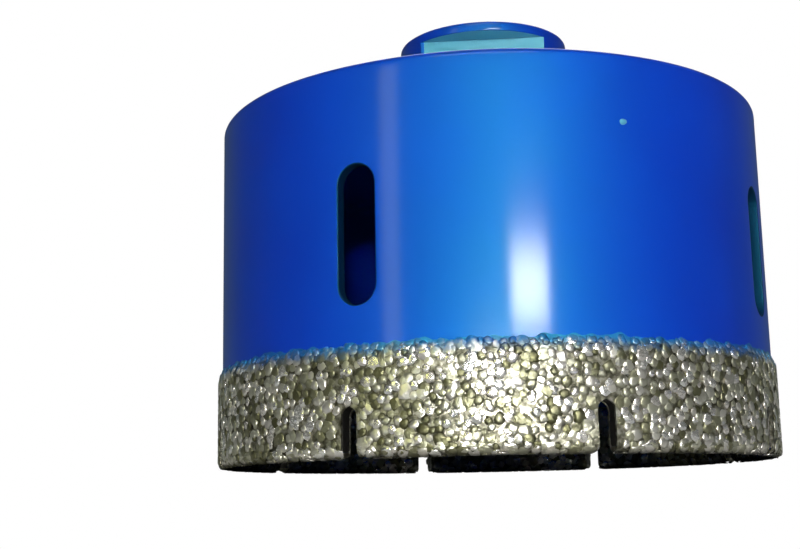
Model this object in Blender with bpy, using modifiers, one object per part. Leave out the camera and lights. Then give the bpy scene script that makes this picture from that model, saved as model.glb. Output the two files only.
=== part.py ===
"""A dry-cutting diamond hole saw for an angle grinder, standing on its toothless rim.

A steel cup is open at the bottom and closed by a crown at the top. A threaded hub with
two wrench flats is welded to the crown, and diamond grit is brazed over the cup's rim.
Slots in the wall let the core be pushed out, and notches in the rim clear the dust.
Units are metres, +Z is up, and the origin is on the axis where the rim stands. The slots
face -Y, +X, +Y and -X.
"""

import math

import bmesh
import bpy
from mathutils import Matrix, Vector

# Sizes shared by several pieces
seat_gap = 0.0003
cut_overrun = 0.0030

# Cup: the wall and the crown are one steel piece
cup_diameter = 0.0983
cup_wall = 0.0020
crown_height = 0.0615
crown_thickness = 0.0030
crown_edge_radius = 0.0012
crown_inner_radius = 0.0022
rim_edge_chamfer = 0.0004

# Core slots in the wall
slot_count = 4
slot_width = 0.0070
slot_length = 0.0220
slot_middle_height = 0.0341

# Dust notches in the rim, sawn a little out of line with the slots
notch_count = 8
notch_width = 0.0028
notch_height = 0.0078
notch_turn = math.radians(-1.6)

# Diamond grit, brazed over the outside, the end and the inside of the rim
grit_outside_thickness = 0.00095
grit_inside_thickness = 0.00080
grit_end_thickness = 0.0011
grit_outside_height = 0.0170
grit_inside_height = 0.0130
grit_shoulder_height = 0.0012
grit_edge_radius = 0.0011
grain_size = 0.0032
grain_relief = 0.00035

# Hub
hub_diameter = 0.0315
hub_rise = 0.0174
hub_edge_chamfer = 0.0006
hub_collar_height = 0.0018
hub_foot_height = 0.0042
flats_across = 0.0220
flats_turn = math.radians(24.0)
thread_bore_diameter = 0.0118
bore_chamfer = 0.0016
spigot_diameter = 0.0240
spigot_below_crown = 0.0010
spigot_chamfer = 0.0005

# Weld between the hub and the crown
weld_leg = 0.0021
weld_crown_share = 0.16

# How finely round shapes are cut
cup_steps = 96
grit_steps = 144
hub_steps = 72
weld_steps = 72
arc_steps = 4
grit_arc_steps = 3
grit_outside_rows = 9
grit_inside_rows = 3
cutter_sides = 24

# Sizes that follow from the ones above
cup_radius = cup_diameter / 2
cup_bore_radius = cup_radius - cup_wall
crown_underside = crown_height - crown_thickness
crown_hole_radius = spigot_diameter / 2 + seat_gap
grit_radius = cup_radius + grit_outside_thickness - grain_relief
grit_bore_radius = cup_bore_radius - grit_inside_thickness + grain_relief
hub_radius = hub_diameter / 2
hub_seat = crown_height + seat_gap
hub_top = crown_height + hub_rise
spigot_end = crown_underside - spigot_below_crown

FACING_FRONT = Vector((0, -1, 0))


def clear_scene():
    """Remove every object, so that the script can be run again in an open file."""
    for obj in list(bpy.data.objects):
        bpy.data.objects.remove(obj, do_unlink=True)


def new_collection(name, parent):
    """A collection under another one, emptied of an earlier run's."""
    old = bpy.data.collections.get(name)
    if old is not None:
        bpy.data.collections.remove(old)
    collection = bpy.data.collections.new(name)
    parent.children.link(collection)
    return collection


def new_material(name, colour, roughness, metallic, coat=0.0):
    """A Principled material of one finish."""
    material = bpy.data.materials.new(name)
    material.use_nodes = True
    shader = material.node_tree.nodes["Principled BSDF"]
    shader.inputs["Base Color"].default_value = (*colour, 1)
    shader.inputs["Roughness"].default_value = roughness
    shader.inputs["Metallic"].default_value = metallic
    shader.inputs["Coat Weight"].default_value = coat
    material.diffuse_color = (*colour, 1)
    return material


def arc(centre, radius, start, end, steps=arc_steps):
    """Points (r, z) along an arc from one angle to another, both ends included."""
    turns = [start + (end - start) * step / steps for step in range(steps + 1)]
    return [
        (centre[0] + radius * math.cos(turn), centre[1] + radius * math.sin(turn))
        for turn in turns
    ]


def rows_between(start, end, rows):
    """Points (r, z) that part a straight stretch into equal rows, without its two ends."""
    low = Vector(start)
    high = Vector(end)
    return [tuple(low.lerp(high, row / rows)) for row in range(1, rows)]


def turned(name, profile, steps, material, collection):
    """A ring turned from a closed profile of points (r, z), listed down its outer side."""
    mesh = bpy.data.meshes.new(name)
    edges = [(i, (i + 1) % len(profile)) for i in range(len(profile))]
    mesh.from_pydata([(r, 0, z) for r, z in profile], edges, [])
    obj = bpy.data.objects.new(name, mesh)
    collection.objects.link(obj)
    screw = obj.modifiers.new("Turn", "SCREW")
    screw.axis = "Z"
    screw.angle = math.tau
    screw.steps = steps
    screw.render_steps = steps
    screw.use_merge_vertices = True
    screw.merge_threshold = seat_gap / 100
    obj.data.materials.append(material)
    return obj


def bake_modifiers(obj):
    """Put the evaluated shape into the object's mesh and drop its modifiers."""
    graph = bpy.context.evaluated_depsgraph_get()
    mesh = bpy.data.meshes.new_from_object(obj.evaluated_get(graph))
    obj.modifiers.clear()
    obj.data = mesh


def cut(obj, cutters, name):
    """Take every cutter of a collection out of an object."""
    boolean = obj.modifiers.new(name, "BOOLEAN")
    boolean.operation = "DIFFERENCE"
    boolean.operand_type = "COLLECTION"
    boolean.collection = cutters
    boolean.solver = "EXACT"


def shade(obj, sharp_angle=math.radians(32)):
    """Smooth the round faces and keep the edges that are sharper than an angle."""
    obj.data.shade_smooth()
    obj.data.set_sharp_from_angle(angle=sharp_angle)


def hidden_cutter(name, mesh, collection):
    """A cutter object, drawn as a wire and left out of renders."""
    cutter = bpy.data.objects.new(name, mesh)
    cutter.hide_render = True
    cutter.display_type = "WIRE"
    collection.objects.link(cutter)
    return cutter


def round_ended_cutter(name, width, low, high, inner, outer, turn, collection):
    """A bar with round ends that pierces a wall radially.

    It is as wide as a slot, reaches from one height to another, and lies between two
    radii. At no turn it faces the front. Two of its sides stand upright, half its width
    from its middle.
    """
    half_side = math.pi / cutter_sides
    corner_radius = width / 2 / math.cos(half_side)
    bm = bmesh.new()
    bmesh.ops.create_cone(
        bm,
        cap_ends=True,
        segments=cutter_sides,
        radius1=corner_radius,
        radius2=corner_radius,
        depth=outer - inner,
        matrix=Matrix.Rotation(math.pi / 2, 4, "X") @ Matrix.Rotation(half_side, 4, "Z"),
    )
    stretch = (high - low - width) / 2
    for vert in bm.verts:
        vert.co.z += math.copysign(stretch, vert.co.z)
    mesh = bpy.data.meshes.new(name)
    bm.to_mesh(mesh)
    bm.free()
    cutter = hidden_cutter(name, mesh, collection)
    facing = Matrix.Rotation(turn, 3, "Z") @ FACING_FRONT
    cutter.location = facing * (inner + outer) / 2 + Vector((0, 0, (low + high) / 2))
    cutter.rotation_euler = (0, 0, turn)
    return cutter


def slot_cutters(collection):
    """The four core slots' cutters, a quarter turn apart."""
    for index in range(slot_count):
        round_ended_cutter(
            f"slot_cutter_{index + 1}",
            slot_width,
            slot_middle_height - slot_length / 2,
            slot_middle_height + slot_length / 2,
            cup_bore_radius - cut_overrun,
            cup_radius + cut_overrun,
            math.tau * index / slot_count,
            collection,
        )


def notch_cutters(collection):
    """The eight dust notches' cutters: round at the top, and open through the rim's end."""
    for index in range(notch_count):
        round_ended_cutter(
            f"notch_cutter_{index + 1}",
            notch_width,
            -cut_overrun,
            notch_height,
            grit_bore_radius - cut_overrun,
            grit_radius + cut_overrun,
            notch_turn + math.tau * index / notch_count,
            collection,
        )


def flat_cutters(collection):
    """Two blocks that mill the wrench flats between the hub's foot and its collar."""
    low = crown_height + hub_foot_height
    high = hub_top - hub_collar_height
    depth = hub_radius - flats_across / 2 + cut_overrun
    for index in range(2):
        name = f"flat_cutter_{index + 1}"
        bm = bmesh.new()
        bmesh.ops.create_cube(bm, size=1)
        bmesh.ops.scale(bm, vec=(hub_diameter, depth, high - low), verts=bm.verts)
        mesh = bpy.data.meshes.new(name)
        bm.to_mesh(mesh)
        bm.free()
        cutter = hidden_cutter(name, mesh, collection)
        turn = flats_turn + math.pi * index
        facing = Matrix.Rotation(turn, 3, "Z") @ FACING_FRONT
        middle = (flats_across + depth) / 2
        cutter.location = facing * middle + Vector((0, 0, (low + high) / 2))
        cutter.rotation_euler = (0, 0, turn)


def build_cup(material, collection, slots, notches):
    """The cup: a crisp crown edge, a plain wall and a chamfered end under the grit."""
    edge_centre = (cup_radius - crown_edge_radius, crown_height - crown_edge_radius)
    root_centre = (cup_bore_radius - crown_inner_radius, crown_underside - crown_inner_radius)
    profile = [
        (crown_hole_radius, crown_height),
        *arc(edge_centre, crown_edge_radius, math.pi / 2, 0),
        (cup_radius, grit_end_thickness + rim_edge_chamfer),
        (cup_radius - rim_edge_chamfer, grit_end_thickness),
        (cup_bore_radius + rim_edge_chamfer, grit_end_thickness),
        (cup_bore_radius, grit_end_thickness + rim_edge_chamfer),
        *arc(root_centre, crown_inner_radius, 0, math.pi / 2),
        (crown_hole_radius, crown_underside),
    ]
    cup = turned("cup", profile, cup_steps, material, collection)
    cut(cup, slots, "Core slots")
    cut(cup, notches, "Dust notches")
    shade(cup)
    return cup


def build_grit(material, collection, notches):
    """The brazed coat: a U that wraps the rim, roughened by grains and notched with it."""
    outer = grit_radius
    inner = grit_bore_radius
    against_wall = cup_radius + seat_gap
    against_bore = cup_bore_radius - seat_gap
    against_end = grit_end_thickness - seat_gap
    outer_top = (outer, grit_outside_height - grit_shoulder_height)
    outer_foot = (outer, grit_edge_radius)
    inner_foot = (inner, grit_edge_radius)
    inner_top = (inner, grit_inside_height - grit_shoulder_height)
    outer_corner = (outer - grit_edge_radius, grit_edge_radius)
    inner_corner = (inner + grit_edge_radius, grit_edge_radius)
    profile = [
        (against_wall, grit_outside_height),
        outer_top,
        *rows_between(outer_top, outer_foot, grit_outside_rows),
        *arc(outer_corner, grit_edge_radius, 0, -math.pi / 2, grit_arc_steps),
        *arc(inner_corner, grit_edge_radius, -math.pi / 2, -math.pi, grit_arc_steps),
        *rows_between(inner_foot, inner_top, grit_inside_rows),
        inner_top,
        (against_bore, grit_inside_height),
        (against_bore, against_end + rim_edge_chamfer),
        (against_bore + rim_edge_chamfer, against_end),
        (against_wall - rim_edge_chamfer, against_end),
        (against_wall, against_end + rim_edge_chamfer),
    ]
    grit = turned("diamond_grit", profile, grit_steps, material, collection)
    bake_modifiers(grit)
    grains = bpy.data.textures.new("grains", "VORONOI")
    grains.noise_scale = grain_size
    grains.distance_metric = "DISTANCE"
    rough = grit.vertex_groups.new(name="rough_faces")
    grit_faces = [
        vert.index
        for vert in grit.data.vertices
        if vert.co.z >= grit_edge_radius
        and not against_bore < math.hypot(vert.co.x, vert.co.y) < against_wall + seat_gap / 2
    ]
    rough.add(grit_faces, 1, "REPLACE")
    relief = grit.modifiers.new("Grains", "DISPLACE")
    relief.texture = grains
    relief.texture_coords = "LOCAL"
    relief.vertex_group = rough.name
    relief.mid_level = 0
    relief.strength = grain_relief
    cut(grit, notches, "Dust notches")
    shade(grit)
    return grit


def build_hub(material, collection, flats):
    """The hub: a turned boss with a spigot through the crown, then two milled flats."""
    bore = thread_bore_diameter / 2
    spigot = spigot_diameter / 2
    profile = [
        (bore + bore_chamfer, hub_top),
        (hub_radius - hub_edge_chamfer, hub_top),
        (hub_radius, hub_top - hub_edge_chamfer),
        (hub_radius, hub_seat),
        (spigot, hub_seat),
        (spigot, spigot_end + spigot_chamfer),
        (spigot - spigot_chamfer, spigot_end),
        (bore + bore_chamfer / 2, spigot_end),
        (bore, spigot_end + bore_chamfer / 2),
        (bore, hub_top - bore_chamfer),
    ]
    hub = turned("hub", profile, hub_steps, material, collection)
    cut(hub, flats, "Wrench flats")
    shade(hub)
    return hub


def build_weld(material, collection):
    """The weld bead: a slightly crowned fillet in the corner of the hub and the crown."""
    root = hub_radius + seat_gap
    toe = root + weld_leg
    top = hub_seat + weld_leg
    bulge = weld_leg * weld_crown_share
    face = []
    for step in range(arc_steps + 1):
        share = step / arc_steps
        out = bulge * math.sin(math.pi * share) / math.sqrt(2)
        face.append((root + weld_leg * share + out, top - weld_leg * share + out))
    face[-1] = (toe, hub_seat)
    profile = [*face, (root, hub_seat)]
    weld = turned("hub_weld", profile, weld_steps, material, collection)
    shade(weld, math.radians(50))
    return weld


def main():
    """Clear the scene, make the cutters, and build the four pieces."""
    clear_scene()
    root = bpy.context.scene.collection
    saw = new_collection("hole_saw", root)
    cutters = new_collection("cutters", root)
    cutters.hide_render = True
    slots = new_collection("slot_cutters", cutters)
    notches = new_collection("notch_cutters", cutters)
    flats = new_collection("flat_cutters", cutters)
    slot_cutters(slots)
    notch_cutters(notches)
    flat_cutters(flats)

    blue_paint = new_material("blue_paint", (0.012, 0.105, 0.560), 0.28, 0.0, coat=0.6)
    nickel_grit = new_material("nickel_grit", (0.42, 0.41, 0.33), 0.42, 0.9)

    pieces = [
        build_cup(blue_paint, saw, slots, notches),
        build_grit(nickel_grit, saw, notches),
        build_hub(blue_paint, saw, flats),
        build_weld(blue_paint, saw),
    ]
    frame = bpy.data.objects.new("hole_saw_frame", None)
    saw.objects.link(frame)
    for piece in pieces:
        piece.parent = frame


main()
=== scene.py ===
"""Looks of a dry-cutting hole saw: an enamelled steel cup with diamond grit on its rim.

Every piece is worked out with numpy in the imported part's own frame: metres, +Z up, the origin
on the axis where the rim stands. Angles are turned from -Y towards +X, as a maker would index
the saw on its spindle: the first core slot is at angle zero.
"""
import itertools
import logging
import math
from dataclasses import dataclass, field
from enum import Enum

import bmesh
import bpy
import numpy as np
from mathutils import Matrix, Vector


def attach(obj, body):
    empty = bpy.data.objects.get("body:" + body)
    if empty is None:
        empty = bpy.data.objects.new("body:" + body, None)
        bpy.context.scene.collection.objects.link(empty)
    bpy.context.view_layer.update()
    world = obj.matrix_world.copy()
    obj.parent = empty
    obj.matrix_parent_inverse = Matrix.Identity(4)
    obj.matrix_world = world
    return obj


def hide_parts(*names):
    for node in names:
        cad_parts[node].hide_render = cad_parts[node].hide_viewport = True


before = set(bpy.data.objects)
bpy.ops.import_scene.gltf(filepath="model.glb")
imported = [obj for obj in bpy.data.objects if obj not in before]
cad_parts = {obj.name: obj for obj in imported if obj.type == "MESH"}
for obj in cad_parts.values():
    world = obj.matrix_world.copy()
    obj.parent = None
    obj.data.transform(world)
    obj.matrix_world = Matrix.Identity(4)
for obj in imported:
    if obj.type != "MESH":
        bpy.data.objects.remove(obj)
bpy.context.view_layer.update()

log = logging.getLogger("hole_saw")

Array = np.ndarray
Colour = tuple[float, float, float]
Span = tuple[float, float]
Material = bpy.types.Material
Piece = bpy.types.Object
Socket = bpy.types.NodeSocket
Shaded = bpy.types.Material | bpy.types.World

MM = 0.001
WHITE: Colour = (1.0, 1.0, 1.0)
SEWING_DISTANCE = 2e-7
SAME_ANGLE = 1e-7
SAME_HEIGHT = 0.01 * MM
NOISE_SPAN: Span = (0.3, 0.7)


# ---------------------------------------------------------------------------------------
# Surfaces
# ---------------------------------------------------------------------------------------


def placed(radius: Array, angle: Array, height: Array) -> Array:
    """Points on circles round the axis: x is r sin(a), y is -r cos(a) and z is the height.

    Args:
        radius: Distances from the axis.
        angle: Angles from -Y towards +X, in radians.
        height: Heights over the rim's end.

    Returns:
        An array with one more axis, of three.
    """
    parts = np.broadcast_arrays(radius * np.sin(angle), -radius * np.cos(angle), height)
    return np.stack(parts, axis=-1)


def eased(share: Array) -> Array:
    """Three s squared less two s cubed, with s held between nought and one."""
    held = np.clip(share, 0.0, 1.0)
    return held * held * (3.0 - 2.0 * held)


def scattered(cells: Array, seed: float) -> Array:
    """Repeatable numbers from nought to one, three for each lattice cell.

    Each is the fraction of a large multiple of the sine of the cell's weighted sum.

    Args:
        cells: Whole-numbered cells, with three numbers on the last axis.
        seed: Any number; another one gives another scatter.

    Returns:
        An array of the same shape.
    """
    weights = np.array([[127.1, 311.7, 74.7], [269.5, 183.3, 246.1], [113.5, 271.9, 124.6]])
    waves = np.sin(cells @ weights.T + seed) * 43758.5453
    return waves - np.floor(waves)


def grain_distances(points: Array, size: float, seed: float) -> Array:
    """Distance to the nearest of many scattered seeds, in cells.

    Space is parted into cubes of one size, each with one seed at a repeatable random place,
    and the nearest seed is looked for in the cube of each point and in its 26 neighbours.

    Args:
        points: Points, three numbers each.
        size: The cubes' width.
        seed: Any number; another one gives another pattern.

    Returns:
        One distance for each point, in cube widths.
    """
    scaled = points.reshape(-1, 3) / size
    home = np.floor(scaled)
    nearest = np.full(len(scaled), np.inf)
    for step in itertools.product((-1.0, 0.0, 1.0), repeat=3):
        cell = home + np.array(step)
        away = np.linalg.norm(cell + scattered(cell, seed) - scaled, axis=-1)
        nearest = np.minimum(nearest, away)
    return nearest.reshape(points.shape[:-1])


def wavering(angle: Array, waves: tuple[int, ...], seed: float) -> Array:
    """A closed wavering line: a mean of sines, one for each whole number of waves a turn.

    Args:
        angle: Angles round the axis.
        waves: Whole numbers of waves.
        seed: A number that shifts each wave by its own amount.

    Returns:
        Values between minus one and one.
    """
    sines = [np.sin(count * angle + seed * (index + 1.7)) for index, count in enumerate(waves)]
    return np.mean(sines, axis=0)


@dataclass
class Surface:
    """Patches of one closed surface, gathered before they are sewn into a mesh."""

    points: list[Array] = field(default_factory=list)
    faces: list[Array] = field(default_factory=list)
    finishes: list[Array] = field(default_factory=list)
    count: int = 0

    def add_grid(
        self,
        grid: Array,
        keep: Array | None = None,
        closed_rows: bool = False,
        closed_columns: bool = False,
        finish: int = 0,
    ) -> None:
        """Add a grid of points as four-sided faces, each between two rows and two columns.

        Args:
            grid: Points, by row and column.
            keep: Which of the faces to keep, by row and column, or all of them.
            closed_rows: Whether the last row joins the first.
            closed_columns: Whether the last column joins the first.
            finish: Index of the finish that these faces take.
        """
        rows, columns = grid.shape[:2]
        index = self.count + np.arange(rows * columns).reshape(rows, columns)
        if closed_rows:
            index = np.vstack([index, index[:1]])
        if closed_columns:
            index = np.hstack([index, index[:, :1]])
        corners = [index[:-1, :-1], index[:-1, 1:], index[1:, 1:], index[1:, :-1]]
        quads = np.stack(corners, axis=-1)
        chosen = quads.reshape(-1, 4) if keep is None else quads[keep]
        self.points.append(grid.reshape(-1, 3))
        self.faces.append(chosen)
        self.finishes.append(np.full(len(chosen), finish, dtype=np.int32))
        self.count += rows * columns


def filled_mesh(name: str, points: Array, faces: Array) -> bpy.types.Mesh:
    """A mesh from whole arrays.

    Args:
        name: The mesh's name.
        points: Points, three numbers each.
        faces: Corner indices, with the same number of corners for every face.

    Returns:
        The mesh, with its edges worked out.
    """
    mesh = bpy.data.meshes.new(name)
    corners = faces.shape[1]
    mesh.vertices.add(len(points))
    mesh.vertices.foreach_set("co", points.astype(np.float32).ravel())
    mesh.loops.add(faces.size)
    mesh.loops.foreach_set("vertex_index", faces.astype(np.int32).ravel())
    mesh.polygons.add(len(faces))
    mesh.polygons.foreach_set("loop_start", np.arange(0, faces.size, corners, dtype=np.int32))
    mesh.update(calc_edges=True)
    return mesh


def dressed(mesh: bpy.types.Mesh, materials: list[Material]) -> Piece:
    """An object at the origin that carries a mesh and its materials."""
    for material in materials:
        mesh.materials.append(material)
    piece = bpy.data.objects.new(mesh.name, mesh)
    bpy.context.scene.collection.objects.link(piece)
    return piece


def sewn(name: str, surface: Surface, materials: list[Material], crease: float) -> Piece:
    """Sew a surface's patches into one closed mesh whose faces point outwards.

    Args:
        name: The piece's name.
        surface: Its patches.
        materials: Its finishes, in the order of the faces' indices.
        crease: Edges that bend by more degrees than this stay crisp.

    Returns:
        The object.
    """
    faces = np.concatenate(surface.faces)
    mesh = filled_mesh(name, np.concatenate(surface.points), faces)
    mesh.polygons.foreach_set("material_index", np.concatenate(surface.finishes))
    bm = bmesh.new()
    bm.from_mesh(mesh)
    bmesh.ops.remove_doubles(bm, verts=bm.verts, dist=SEWING_DISTANCE)
    bmesh.ops.recalc_face_normals(bm, faces=bm.faces)
    bm.to_mesh(mesh)
    bm.free()
    mesh.shade_smooth()
    mesh.set_sharp_from_angle(angle=math.radians(crease))
    return dressed(mesh, materials)


@dataclass(frozen=True)
class Opening:
    """A round-ended opening through a wall, with upright sides.

    Attributes:
        turn: The angle of its middle.
        half_width: Half its width.
        low: Height where its straight sides begin.
        high: Height where they end.
        edge: Radius of its rounded edges.
        reach: Angle over which the wall's columns give way to it.
        open_below: Whether it runs out through the rim's end.
    """

    turn: float
    half_width: float
    low: float
    high: float
    edge: float
    reach: float
    open_below: bool = False

    @property
    def radius(self) -> float:
        """Radius of the round ends, out to where the rounded edge begins."""
        return self.half_width + self.edge

    def past_straight(self, height: Array) -> Array:
        """How far a height lies above the straight sides, or below them as a negative."""
        below = 0.0 if self.open_below else np.minimum(height - self.low, 0.0)
        return np.maximum(height - self.high, 0.0) + below

    def half_gap(self, height: Array) -> Array:
        """Half the opening's width at a height, from the circle of its round end."""
        past = self.past_straight(height)
        return np.sqrt(np.maximum(self.radius**2 - past**2, 0.0))

    def end_rows(self, steps: int) -> Array:
        """Rises over the straight sides' end, evenly turned round the end's quarter circle."""
        return self.radius * np.sin(np.linspace(0.0, math.pi / 2, steps + 1))


@dataclass(frozen=True)
class Columns:
    """A wall's columns of points, with a pair of twins at each seam.

    Attributes:
        angles: Their angles.
        sides: The side of its seam that a twin is on, 1 or -1, and nought for the others.
    """

    angles: Array
    sides: Array

    @staticmethod
    def between(seams: list[float], step: float) -> "Columns":
        """Evenly spread columns between seams, with a pair of twins at each seam.

        Args:
            seams: Angles where the wall may part.
            step: About how far apart the columns are.

        Returns:
            The columns of one turn, in order.
        """
        starts = sorted(seams)
        ends = starts[1:] + [starts[0] + math.tau]
        angles, sides = [], []
        for start, end in zip(starts, ends):
            count = max(2, round((end - start) / step))
            angles.append(np.linspace(start, end, count + 1))
            side = np.zeros(count + 1)
            side[0], side[-1] = 1.0, -1.0
            sides.append(side)
        return Columns(np.concatenate(angles), np.concatenate(sides))

    @property
    def joined(self) -> Array:
        """Whether each column is joined to the next one, which a seam's twins aren't."""
        return ~((self.sides[:-1] < 0) & (self.sides[1:] > 0))

    def away_from(self, turn: float) -> Array:
        """Angles from a turn to each column, the shorter way round."""
        return (self.angles - turn + math.pi) % math.tau - math.pi

    def twin(self, turn: float, side: float) -> int:
        """Index of the twin column on one side of the seam at a turn."""
        found = (np.abs(self.away_from(turn)) < SAME_ANGLE) & (self.sides == side)
        return int(np.argmax(found))


@dataclass
class PiercedWall:
    """A closed wall of two skins, with round-ended openings through both.

    Row by row the front skin and the back skin have the same number of points. A column
    gives way to an opening by its half gap at that height, in full beside the seam and less
    and less up to its reach, so that the seam's twins part along the opening's outline.

    Attributes:
        columns: The columns of both skins.
        openings: The openings.
        edge_steps: Steps round each opening's edges.
        finishes: Indices of the finishes inside closed openings and inside those that run
            out through the rim.
    """

    columns: Columns
    openings: list[Opening]
    edge_steps: int = 3
    finishes: tuple[int, int] = (0, 0)

    def angles(self, radius: Array, height: Array) -> Array:
        """The columns' angles at each row, parted by the openings.

        Args:
            radius: Radii by row and column.
            height: Heights by row and column.

        Returns:
            Angles by row and column.
        """
        angle = np.broadcast_to(self.columns.angles, height.shape).copy()
        for opening in self.openings:
            away = self.columns.away_from(opening.turn)
            side = np.where(np.abs(away) < SAME_ANGLE, self.columns.sides, np.sign(away))
            nearness = np.maximum(1.0 - np.abs(away) / opening.reach, 0.0)
            angle += side * nearness * np.arcsin(opening.half_gap(height) / radius)
        return angle

    def side(self, opening: Opening, side: float, front: Array, back: Array) -> Array:
        """One side of an opening, from the front skin's seam to the back skin's.

        At each row a quarter circle leads in from the front skin, a straight line goes
        through the wall, and a quarter circle leads out to the back skin. The quarter
        circles bend at right angles to the opening's outline.

        Args:
            opening: The opening.
            side: Which side, 1 or -1.
            front: Radius and height of the front seam, by row.
            back: Radius and height of the back seam, by row.

        Returns:
            Points by row and step.
        """
        gap = opening.half_gap(front[:, 1])
        open_rows = gap > SAME_ANGLE
        first = int(np.argmax(open_rows))
        last = len(gap) - 1 - int(np.argmax(open_rows[::-1]))
        rows = slice(max(first - 1, 0), min(last + 2, len(gap)))
        front, back, gap = front[rows], back[rows], gap[rows]
        across = (gap / opening.radius)[:, None]
        upward = (opening.past_straight(front[:, 1]) / opening.radius)[:, None]
        if opening.edge > 0.0:
            thickness = float(np.mean(front[:, 0] - back[:, 0]))
            turn = np.linspace(0.0, math.pi / 2, self.edge_steps + 1)
            inset = opening.edge * np.sin(turn)
            depth = opening.edge * (1.0 - np.cos(turn)) / thickness
            inset = np.concatenate([inset, inset[::-1]])
            depth = np.concatenate([depth, 1.0 - depth[::-1]])
        else:
            depth = np.linspace(0.0, 1.0, self.edge_steps + 2)
            inset = np.zeros_like(depth)
        radius = front[:, :1] + (back[:, :1] - front[:, :1]) * depth
        height = front[:, 1:] + (back[:, 1:] - front[:, 1:]) * depth - inset * upward
        sideways = gap[:, None] - inset * across
        return placed(radius, opening.turn + side * np.arcsin(sideways / radius), height)

    def surface(self, front: Array, back: Array) -> Surface:
        """Both skins, the openings' sides, and the strips that close the first and last rows.

        Args:
            front: Radius and height of the front skin, by row and column.
            back: The same of the back skin.

        Returns:
            The closed surface's patches.
        """
        surface = Surface()
        skins = []
        for skin in (front, back):
            radius, height = skin[..., 0], skin[..., 1]
            grid = placed(radius, self.angles(radius, height), height)
            keep = np.broadcast_to(self.columns.joined, (len(grid) - 1, grid.shape[1] - 1))
            surface.add_grid(grid, keep)
            skins.append(grid)
        joined = self.columns.joined[None]
        for row in (0, -1):
            surface.add_grid(np.stack([skins[0][row], skins[1][row]]), joined)
        for opening, side in itertools.product(self.openings, (-1.0, 1.0)):
            column = self.columns.twin(opening.turn, side)
            inside = self.side(opening, side, front[:, column], back[:, column])
            surface.add_grid(inside, finish=self.finishes[opening.open_below])
        return surface


def across_columns(profile: Array, columns: Columns) -> Array:
    """A profile of radii and heights, repeated for every column."""
    return np.repeat(profile[:, None, :], len(columns.angles), axis=1)


def quarter(centre: Array, radius: float, start: float, end: float, steps: int) -> Array:
    """Points (r, z) round part of a circle: the centre plus the radius times (cos t, sin t)."""
    turn = np.linspace(start, end, steps + 1)
    return np.asarray(centre) + radius * np.stack([np.cos(turn), np.sin(turn)], axis=-1)


# ---------------------------------------------------------------------------------------
# Finishes
# ---------------------------------------------------------------------------------------


class Pattern(Enum):
    """The procedural textures that the finishes are made of."""

    NOISE = "ShaderNodeTexNoise"
    CELLS = "ShaderNodeTexVoronoi"


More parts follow.
